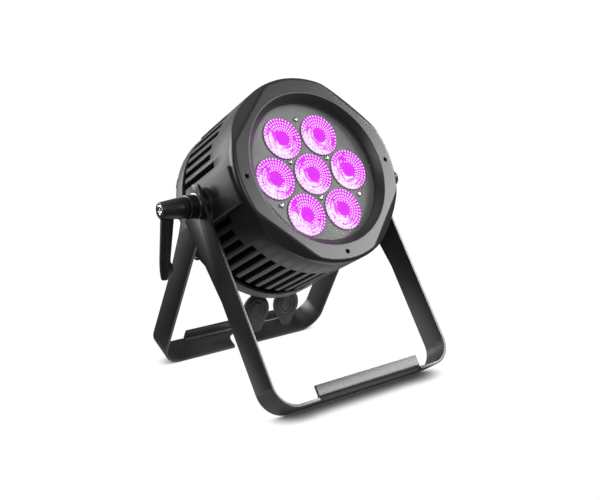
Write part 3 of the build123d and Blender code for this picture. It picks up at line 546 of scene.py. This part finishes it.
def make_bezel():
    steps = 480
    mouth = WINDOW_MOUTH
    lip_z = BEZEL_FRONT - LIP_DEPTH
    slope = degrees(atan2(LIP_DEPTH, WINDOW_MOUTH - WINDOW_RADIUS))
    inner = [(GLASS_RADIUS + 1, BEZEL_REAR), (GLASS_RADIUS + 1, GLASS_FRONT), (WINDOW_RADIUS, GLASS_FRONT),
             (WINDOW_RADIUS, lip_z - 0.25), (WINDOW_RADIUS + 0.25, lip_z + 0.1)]
    edge = 0.9
    turn_in = [(mouth + edge * 0.42 - edge * sin(radians(a)), BEZEL_FRONT - edge + edge * cos(radians(a)))
               for a in range(int(slope), -1, -8)]
    faces = [mouth + edge + 0.2 + (BODY_RADIUS - mouth - edge - 0.2) * k / 34 for k in range(35)]
    rows = []
    for r, z in inner + turn_in:
        rows.append([(r * cos(2 * pi * k / steps), r * sin(2 * pi * k / steps), z) for k in range(steps)])
    for r in faces:
        rows.append([(r * cos(2 * pi * k / steps), r * sin(2 * pi * k / steps),
                      bezel_height(r, 2 * pi * k / steps)) for k in range(steps)])
    rows.append([(BODY_RADIUS * cos(2 * pi * k / steps), BODY_RADIUS * sin(2 * pi * k / steps),
                  BEZEL_REAR + 0.1)
                 for k in range(steps)])
    r = BODY_RADIUS - 0.5
    rows.append([(r * cos(2 * pi * k / steps), r * sin(2 * pi * k / steps), BEZEL_REAR)
                 for k in range(steps)])
    rows.append(rows[0])
    mesh = tidy_mesh(skin("front_bezel_skin", rows), sharp=50)
    mesh.materials.append(bezel_paint)
    plugs = []
    for x, y in ring_places(BEZEL_SCREW_CIRCLE, BEZEL_SCREW_ANGLES):
        plug = lathe("bezel_screw_sink", [(0, -4.0), (SCREW_HOLE, -4.0), (SCREW_HOLE, 1.0), (0, 1.0)], 32)
        plug.transform(Matrix.Translation((x, y, BEZEL_FRONT)))
        plugs.append(tidy_mesh(plug))
    return cut(mesh, join_meshes("bezel_screw_sinks", plugs), bezel_paint)


bezel_mesh = make_bezel()
place("front_bezel_shell", put_in_head(bezel_mesh), "head", bezel_paint, "housing_paint", "front_bezel")


# ================================================================ housing with its fins
FIN_TIP = -39.0
FIN_CORNER = 3.0
FIN_GAP = 6.6
FIN_PITCH = 7.0
FIRST_GAP = 16.5
GAPS_PER_QUARTER = 11
SLOT_FRONT = 23.5
SHORT_SLOT_FRONT = 15.5
FIN_EDGE = 0.5
PAD_HALF = 18.5
PAD_MIDDLE = (HEAD_INVERSE @ pivot).y


def gap_list():
    """(angle in degrees, front end) of every gap between fins, in order round the axis."""
    gaps = []
    for k in range(GAPS_PER_QUARTER):
        off = FIRST_GAP + FIN_PITCH * k
        front = SHORT_SLOT_FRONT if k in (1, 2) else SLOT_FRONT
        gaps += [(off, front), (180 - off, front), (180 + off, front), (360 - off, front)]
    return sorted(gaps)


def fin_profile(inset):
    """Rows of (radius, z, key) down the outside of a fin, inset from its true surface."""
    outer = BODY_RADIUS - inset
    rows = [(outer, -10.0), (outer, FIN_TIP + FIN_CORNER)]
    for k in range(1, 7):
        a = radians(90 * k / 6)
        rows.append((BODY_RADIUS - FIN_CORNER + (FIN_CORNER - inset) * cos(a),
                     FIN_TIP + FIN_CORNER - (FIN_CORNER - inset) * sin(a)))
    rows.append((CAN_OUTER, FIN_TIP + inset))
    return rows


def make_housing():
    columns = []
    gaps = gap_list()
    half = FIN_GAP / 2
    b = FIN_EDGE
    for index, (angle, front) in enumerate(gaps):
        for offset, inset, floor in ((-half - b, 0.0, False), (-half - 0.3 * b, 0.3 * b, False),
                                     (-half, b, False), (-half, b, True), (half, b, True),
                                     (half, b, False), (half + 0.3 * b, 0.3 * b, False),
                                     (half + b, 0.0, False)):
            columns.append((angle, offset, inset, floor, front))
        following = gaps[(index + 1) % len(gaps)][0] + (360 if index == len(gaps) - 1 else 0)
        span = following - angle
        fills = max(1, round((span - 3.5) / 3.0))
        first = angle + degrees(half / BODY_RADIUS) + 0.5
        last = following - degrees(half / BODY_RADIUS) - 0.5
        for k in range(1, fills + 1):
            columns.append((first + (last - first) * k / (fills + 1), 0.0, 0.0, None, 0.0))

    def spot(angle, offset, radius):
        a = radians(angle)
        reach = sqrt(max(radius * radius - offset * offset, 0))
        return reach * cos(a) - offset * sin(a), reach * sin(a) + offset * cos(a)

    top_rows = [(GLASS_RADIUS + 1, GLASS_REAR - 1.6), (GLASS_RADIUS + 1, BEZEL_REAR),
                (BODY_RADIUS - 0.6, BEZEL_REAR),
                (BODY_RADIUS - 0.2, BEZEL_REAR - 0.15), (BODY_RADIUS, BEZEL_REAR - 0.6)]
    inner_rows = [(0, SPREADER_FRONT), (76.0, SPREADER_FRONT), (76.0, GLASS_REAR - 1.6)]
    ends = []
    for front in (SLOT_FRONT, SHORT_SLOT_FRONT):
        ends += [("rim", front + b, 0.0, front), ("rim", front + 0.3 * b, 0.3 * b, front),
                 ("rim", front, b, front), ("wall", front, None, front)]
    table = []
    for r, z in inner_rows + top_rows:
        table.append([(*spot(a, 0 if f is None else o, r), z) for a, o, i, f, g in columns])
    for kind, z, sink, front in ends:
        row = []
        for a, o, i, f, g in columns:
            if f is None:
                radius = BODY_RADIUS
            elif z > g + 0.99 * b or (kind == "rim" and front != g and z > g):
                radius = BODY_RADIUS
            elif front != g:
                radius = CAN_OUTER if f else BODY_RADIUS - i
            elif kind == "wall":
                radius = CAN_OUTER if f else BODY_RADIUS - i
            elif f or i:
                radius = BODY_RADIUS - min(sink, i)
            else:
                radius = BODY_RADIUS
            row.append((*spot(a, o, radius), z))
        table.append(row)
    for n in range(len(fin_profile(0.0))):
        row = []
        for a, o, i, f, g in columns:
            radius, z = fin_profile(i if f is not None else 0.0)[n]
            if f:
                radius = CAN_OUTER
            row.append((*spot(a, o, radius), z))
        table.append(row)
    for r, z in ((CAN_OUTER, HOUSING_REAR), (CAN_INNER, HOUSING_REAR), (CAN_INNER, 12.0), (0, 12.0)):
        table.append([(*spot(a, o if r > CAN_INNER else 0, r), z) for a, o, i, f, g in columns])
    mesh = tidy_mesh(skin("housing_skin", table), sharp=32, merge=1e-4)
    mesh.materials.append(housing_paint)
    return mesh


def bevelled_block(name, low, high, width, segments=3):
    """Box with rounded edges, corners given in mm."""
    mesh = bpy.data.meshes.new(name)
    work = bmesh.new()
    bmesh.ops.create_cube(work, size=1.0)
    for v in work.verts:
        v.co = Vector((low[k] + (high[k] - low[k]) * (v.co[k] + 0.5)) for k in range(3))
    edge = work.loops.layers.float.new("edge")
    made = bmesh.ops.bevel(work, geom=work.edges[:], offset=width, segments=segments, profile=0.5,
                           affect="EDGES", clamp_overlap=True)
    for face in made["faces"]:
        for loop in face.loops:
            loop[edge] = 1.0
    work.to_mesh(mesh)
    work.free()
    mesh.shade_smooth()
    mesh.set_sharp_from_angle(angle=radians(35))
    return mesh


def make_pads():
    meshes = []
    for side in (-1, 1):
        near, far = sorted((side * (CAN_OUTER - 1), side * PAD_FLAT))
        pad = bevelled_block(f"pad_{side}", (near, PAD_MIDDLE - PAD_HALF, HOUSING_REAR),
                             (far, PAD_MIDDLE + PAD_HALF, BEZEL_REAR), 0.8)
        pad.materials.append(housing_paint)
        meshes.append(pad)
    return meshes


housing = join_meshes("main_housing_shell", [make_housing(), *make_pads()])
place("main_housing_shell", put_in_head(housing), "head", housing_paint, "housing_paint", "main_housing")


# ================================================================ lenses and their plate
def lens_mesh(number, centre):
    """Lens with its lit front face, turned body and thin rim; UV map 'face' spans the front."""
    steps = 96
    face_rings = 14
    front = [(LENS_RADIUS * k / face_rings, LENS_FRONT - 0.25 * (k / face_rings) ** 2)
             for k in range(face_rings)]
    profile = ([(0, LENS_FRONT)] + front[1:] + [(LENS_RADIUS - 0.5, LENS_FRONT - 0.25)])
    mesh = lathe(f"lens_{number}_front", profile, steps)
    mesh.transform(Matrix.Translation((*centre, 0)))
    tidy_mesh(mesh, outward=False)
    layer = mesh.uv_layers.new(name="face")
    for loop in mesh.loops:
        p = mesh.vertices[loop.vertex_index].co
        layer.data[loop.index].uv = ((p.x - centre[0]) / LENS_RADIUS, (p.y - centre[1]) / LENS_RADIUS)
    mesh.materials.append(lens_face)
    rim = lathe(f"lens_{number}_rim", [(LENS_RADIUS - 0.5, LENS_FRONT - 0.25),
                                       (LENS_RADIUS - 0.5, LENS_FRONT - 0.1),
                                       (LENS_RADIUS - 0.1, LENS_FRONT - 0.05),
                                       (LENS_RADIUS, LENS_FRONT - 0.25),
                                       (LENS_RADIUS, LENS_FRONT - 2), (LENS_RADIUS - 3, LENS_FRONT - 2),
                                       (8, 29), (0, 29)], steps)
    rim.transform(Matrix.Translation((*centre, 0)))
    tidy_mesh(rim, outward=False)
    rim.materials.append(lens_rim)
    return mesh, rim


def bead_mesh(length, width):
    """Small rounded bead, length along x."""
    bead = lathe("bead", [(0.5, 0.0), (0.42, 0.1), (0.22, 0.18), (0, 0.2)], 10)
    bead.transform(Matrix.Diagonal((length, width, 1.0, 1.0)))
    return tidy_mesh(bead, outward=False)


BEAD_RINGS = ((0.93, 36), (0.78, 36), (0.635, 36), (0.505, 36), (0.40, 18))


def make_lenses():
    for number, centre in enumerate(lens_centres, start=1):
        rings = []
        for share, count in BEAD_RINGS:
            points, aims = [], []
            r = share * LENS_RADIUS
            for k in range(count):
                a = 2 * pi * k / count
                shade = noise.noise(Vector((3 * number + cos(a) * 1.4, sin(a) * 1.4, share * 8)))
                if share < 0.9 and shade - 0.55 * cos(a - radians(35)) > 0.12:
                    continue
                points.append((centre[0] + r * cos(a), centre[1] + r * sin(a),
                               LENS_FRONT - 0.25 * share ** 2))
                aims.append(a)
            template = bead_mesh(2.3 if share > 0.45 else 1.5, min(0.50 * 2 * pi * r / count, 1.5))
            rings.append(copies(f"lens_{number}_ring", template, points, lens_bead, aims))
        mesh = join_meshes(f"lens_{number}_lit", [*lens_mesh(number, centre), *rings])
        place(f"lens_{number}_lit", put_in_head(mesh), "head", lens_face, "optic", f"lens_{number}")


make_lenses()

OUTER_POSTS = (90, 210, 330)
INNER_POSTS = (30, 150, 270)
INNER_POST_CIRCLE = LENS_PITCH / (2 * cos(radians(30)))
OUTER_POST_CIRCLE = 57.0


def screw_mesh(name, radius, height, drive, sides=6):
    """Button head with a sunk drive, head up, seat at z 0."""
    steps = 36
    rows = [(radius * 0.96, 0.0), (radius, height * 0.25), (radius * 0.93, height * 0.62),
            (radius * 0.72, height * 0.92), (radius * 0.55, height)]
    table = [[(r * cos(2 * pi * k / steps), r * sin(2 * pi * k / steps), z) for k in range(steps)]
             for r, z in rows]

    def six(k):
        a = 2 * pi * k / steps
        within = (a + pi / sides) % (2 * pi / sides) - pi / sides
        return drive * cos(pi / sides) / cos(within)
    for scale, z in ((1.06, height), (1.0, height - 0.12), (0.96, height * 0.35)):
        table.append([(six(k) * scale * cos(2 * pi * k / steps), six(k) * scale * sin(2 * pi * k / steps), z)
                      for k in range(steps)])
    table.append([(0, 0, height * 0.3)] * steps)
    return tidy_mesh(skin(name, table), outward=False)


post_points = ring_places(INNER_POST_CIRCLE, INNER_POSTS) + ring_places(OUTER_POST_CIRCLE, OUTER_POSTS)
plate_screws = copies("lens_plate_screw_heads", screw_mesh("plate_screw", 2.4, 1.6, 1.15),
                      [(x, y, PLATE_FRONT) for x, y in post_points], bright_steel, turn=1.0, seed=4)
place("lens_plate_screw_heads", put_in_head(plate_screws), "head", bright_steel, "bright_steel",
      "lens_plate_screws")

bezel_points = ring_places(BEZEL_SCREW_CIRCLE, BEZEL_SCREW_ANGLES)
bezel_screws = copies("bezel_screw_heads", screw_mesh("bezel_screw", 2.1, 2.5, 1.2),
                      [(x, y, BEZEL_FRONT - 4.0) for x, y in bezel_points], black_screw, turn=1.0, seed=7)
place("bezel_screw_heads", put_in_head(bezel_screws), "head", black_screw, "black_screw", "bezel_screws")


# ================================================================ rear
def soften_node(node, body, material, slot, width, **more):
    return place(node + "_finished", softened(node, width, **more), body, material, slot, node)


soften_node("rear_cover", "head", housing_paint, "housing_paint", 0.5)
soften_node("lens_plate", "head", plate_paint, "lens_plate", 0.25)
soften_node("outer_yoke", "outer_yoke", yoke_paint, "yoke_paint", 0.3)
soften_node("inner_yoke", "inner_yoke", yoke_paint, "yoke_paint", 0.3)
soften_node("safety_eye", "head", black_screw, "black_screw", 0.6)
soften_node("cap_frames", "head", black_rubber, "black_rubber", 0.35)
for socket in ("power_in", "power_out", "data_in", "data_out"):
    soften_node(f"{socket}_socket", "head", black_plastic, "black_plastic", 0.35)
    soften_node(f"{socket}_cap", f"{socket}_cap", black_rubber, "black_rubber", 0.45)
soften_node("rear_cover_screws", "head", black_screw, "black_screw", 0.3)
soften_node("socket_screws", "head", black_screw, "black_screw", 0.2)
soften_node("pressure_vent", "head", vent_brass, "vent_brass", 0.3)
soften_node("display_window", "head", smoked_acrylic, "display_window", 0.3)
for k in range(1, 5):
    soften_node(f"menu_button_{k}", f"menu_button_{k}", black_rubber, "black_rubber", 0.3)


def handle_section(inner, outer, half_width):
    """Six-sided section across a lever's arm: (out from the stand, across)."""
    ridge = inner + 0.52 * (outer - inner)
    return [(inner, -0.55 * half_width), (ridge, -half_width), (outer, -0.5 * half_width),
            (outer, 0.5 * half_width), (ridge, half_width), (inner, 0.55 * half_width)]


def make_handle(side_name):
    """Clamp lever: tapered hub with its well, and a slim ridged arm that flares at the tip."""
    corners = [v.co for v in nodes[f"lever_handle_{side_name}"].data.vertices]
    side = -1.0 if corners[0].x < 0 else 1.0
    reach_x = [side * c.x / MM for c in corners]
    start, end = min(reach_x), max(reach_x)
    middle = sum((Vector((0, c.y - pivot.y, c.z - pivot.z)) for c in corners), Vector()) / len(corners)
    down = middle.normalized()
    across = Vector((side, 0, 0)).cross(down)
    axes = Matrix((Vector((side, 0, 0)), down, across)).transposed().to_4x4()
    to_stand = Matrix.Translation((0, pivot.y, pivot.z)) @ axes @ Matrix.Scale(MM, 4)
    length = max((Vector((0, c.y - pivot.y, c.z - pivot.z)).dot(down)) for c in corners) / MM
    out = end - 1.0
    stations = [(3.0, 15.0, 1.0, 4.0), (10.0, 15.0, 0.8, 3.9), (22.0, 13.8, 0.3, 3.7),
                (36.0, 12.4, -0.4, 3.4),
                (47.0, 11.3, -0.9, 3.2), (50.5, 11.2, -0.9, 3.3), (54.0, 13.6, -0.8, 3.5),
                (58.5, 14.2, -0.6, 3.5),
                (62.5, 13.6, -0.2, 3.3), (65.8, 11.2, 0.3, 2.9), (length - 0.3, 8.6, 1.0, 2.4)]
    rows = []
    for down_by, inner, outer, half_width in stations:
        section = handle_section(out - inner + 1.0, out - outer - 0.4, half_width)
        rows.append([(u, down_by, w) for u, w in section])
    rows = [[rows[0][0]] * 6] + rows + [[tuple(sum(p[k] for p in rows[-1]) / 6 for k in range(3))] * 6]
    arm = tidy_mesh(skin("handle_arm", rows), sharp=30)
    work = bmesh.new()
    work.from_mesh(arm)
    edge = work.loops.layers.float.new("edge")
    hard = [e for e in work.edges if len(e.link_faces) == 2 and e.calc_face_angle(0) > radians(20)]
    made = bmesh.ops.bevel(work, geom=hard, offset=0.45, segments=2, profile=0.5,
                           affect="EDGES", clamp_overlap=True)
    for face in made["faces"]:
        for loop in face.loops:
            loop[edge] = 1.0
    work.to_mesh(arm)
    work.free()
    arm.shade_smooth()
    arm.set_sharp_from_angle(angle=radians(40))
    tip = out
    profile = [(5.0, start), (9.6, start), (10.0, start + 0.5), (10.0, start + 9.5), (9.7, start + 12.0),
               (8.2, tip - 1.0), (7.8, tip - 0.3), (7.2, tip), (6.1, tip), (5.8, tip - 0.4),
               (5.8, tip - 11.5),
               (5.0, tip - 11.5), (5.0, start)]
    hub = tidy_mesh(lathe("handle_hub", profile, 64))
    hub.transform(Matrix(((0, 0, 1, 0), (1, 0, 0, 0), (0, 1, 0, 0), (0, 0, 0, 1))))
    for part in (arm, hub):
        part.materials.append(black_plastic)
    whole = join_meshes(f"lever_handle_{side_name}_shaped", [arm, hub])
    whole.transform(to_stand)
    return tidy_mesh(whole, sharp=40)


for side in ("left", "right"):
    soften_node(f"pivot_spacer_{side}", "head", black_plastic, "black_plastic", 0.5)
    soften_node(f"lever_stud_{side}", f"{side}_clamp", black_steel, "black_steel", 0.5)
    soften_node(f"lever_screw_{side}", f"{side}_clamp", bright_steel, "bright_steel", 0.4)
    soften_node(f"lever_washer_{side}", f"{side}_clamp", washer_steel, "bright_steel", 0.2)
    place(f"lever_handle_{side}_shaped", make_handle(side), f"{side}_handle", black_plastic, "black_plastic",
          f"lever_handle_{side}")

# ================================================================ CAD nodes that stay, with their finishes
KEPT = {"front_glass": front_glass, "glass_gasket": black_rubber, "rear_gasket": black_rubber,
        "lens_holders": black_plastic, "led_board": board_green, "driver_board": board_green,
        "control_board": board_green, "led_emitters": emitter_yellow,
        "friction_washer_left": black_plastic, "friction_washer_right": black_plastic,
        "lever_spring_left": bright_steel, "lever_spring_right": bright_steel}
for name, material in KEPT.items():
    nodes[name].data.materials.clear()
    nodes[name].data.materials.append(material)


# ================================================================ floor, light and camera
def make_floor():
    """White sweep, shaded only where something stands on it; reflections see its middle lit."""
    material = bpy.data.materials.new("pale_studio_floor")
    material.use_nodes = True
    tree = material.node_tree
    tree.nodes.clear()
    here = tree.nodes.new("ShaderNodeTexCoord").outputs["Object"]
    mottle = wire(tree, "ShaderNodeTexNoise", i0=here, i2=3.0, i3=2.0)
    near = wire(tree, "ShaderNodeAmbientOcclusion", {"samples": 16}, Distance=0.025)
    open_share = step(tree, near.outputs["AO"], 0.08, 0.72)
    level = calc(tree, "ADD", calc(tree, "MULTIPLY", open_share, 0.99), 0.03)
    level = calc(tree, "ADD", level, calc(tree, "MULTIPLY", mottle.outputs[0], 0.01))
    seen_floor = wire(tree, "ShaderNodeEmission", Strength=level)
    away = wire(tree, "ShaderNodeVectorMath", {"operation": "LENGTH"}, i0=here).outputs["Value"]
    bounce = calc(tree, "MULTIPLY", open_share, calc(tree, "SUBTRACT", 1.0, step(tree, away, 0.06, 0.24)))
    lit_floor = wire(tree, "ShaderNodeEmission", Strength=calc(tree, "MULTIPLY_ADD", bounce, 0.85, 0.02))
    ray = tree.nodes.new("ShaderNodeLightPath").outputs["Is Camera Ray"]
    chosen = wire(tree, "ShaderNodeMixShader", i0=ray, i1=lit_floor.outputs[0], i2=seen_floor.outputs[0])
    output = tree.nodes.new("ShaderNodeOutputMaterial")
    tree.links.new(chosen.outputs[0], output.inputs[0])
    mesh = bpy.data.meshes.new("floor")
    half = 8.0
    corners = [(-half, -half, 0), (half, -half, 0), (half, half, 0), (-half, half, 0)]
    mesh.from_pydata(corners, [], [(0, 1, 2, 3)])
    floor = new_object("floor", mesh, material)


make_floor()


def area_light(name, place_at, aim_at, width, height, power):
    lamp = bpy.data.lights.new(name, "AREA")
    lamp.shape = "RECTANGLE"
    lamp.size, lamp.size_y, lamp.energy = width, height, power
    holder = bpy.data.objects.new(name, lamp)
    holder.location = place_at
    holder.rotation_mode = "QUATERNION"
    holder.rotation_quaternion = (Vector(aim_at) - Vector(place_at)).to_track_quat("-Z", "Y")
    bpy.context.scene.collection.objects.link(holder)
    return holder


MIDDLE = Vector((0, 0, 0.16))
area_light("rear_left_softbox", (-1.00, 1.45, 0.72), MIDDLE, 0.9, 1.3, 24)
area_light("rear_wide_softbox", (0.10, 1.9, 1.0), MIDDLE, 2.2, 1.5, 6)
area_light("front_right_softbox", (1.00, -0.92, 0.72), MIDDLE, 0.9, 0.5, 14.5)
area_light("front_left_fill", (-0.85, -1.25, 1.15), MIDDLE, 0.8, 0.8, 7)
area_light("right_fill", (1.60, -0.42, 0.95), MIDDLE, 0.5, 0.5, 16)
area_light("overhead_softbox", (-0.3, 0.4, 2.0), MIDDLE, 1.5, 1.5, 4.5)

world = bpy.data.worlds.new("studio")
world.use_nodes = True
bpy.context.scene.world = world
world_tree = world.node_tree
backdrop = world_tree.nodes["Background"]
ray = world_tree.nodes.new("ShaderNodeLightPath")
seen = world_tree.nodes.new("ShaderNodeMath")
seen.operation = "MULTIPLY_ADD"
world_tree.links.new(ray.outputs["Is Camera Ray"], seen.inputs[0])
FILL = 0.10
seen.inputs[1].default_value = 1.05 - FILL
seen.inputs[2].default_value = FILL
world_tree.links.new(seen.outputs[0], backdrop.inputs["Strength"])
backdrop.inputs["Color"].default_value = (1, 1, 1, 1)

CAMERA_AZIMUTH, CAMERA_ELEVATION, CAMERA_ROLL = radians(-38.2095), radians(12.6156), radians(-0.8989)
CAMERA_DISTANCE, CAMERA_RIGHT, CAMERA_UP = 0.952786, 0.012580, -0.058300
CAMERA_LENS = 55.80


def make_camera():
    back = Vector((sin(CAMERA_AZIMUTH) * cos(CAMERA_ELEVATION), -cos(CAMERA_AZIMUTH) * cos(CAMERA_ELEVATION),
                   sin(CAMERA_ELEVATION)))
    right = (-back).cross(Vector((0, 0, 1))).normalized()
    up = right.cross(-back)
    c, s = cos(CAMERA_ROLL), sin(CAMERA_ROLL)
    right, up = c * right + s * up, c * up - s * right
    lens = bpy.data.cameras.new("camera")
    lens.sensor_width = 36.0
    lens.lens = CAMERA_LENS
    lens.clip_start = 0.05
    lens.dof.use_dof = False
    camera = bpy.data.objects.new("camera", lens)
    at = pivot + back * CAMERA_DISTANCE + right * CAMERA_RIGHT + up * CAMERA_UP
    turn = Matrix((right, up, back)).transposed().to_4x4()
    camera.matrix_world = Matrix.Translation(at) @ turn
    bpy.context.scene.collection.objects.link(camera)
    bpy.context.scene.camera = camera


make_camera()
bpy.context.scene.view_settings.view_transform = "Standard"
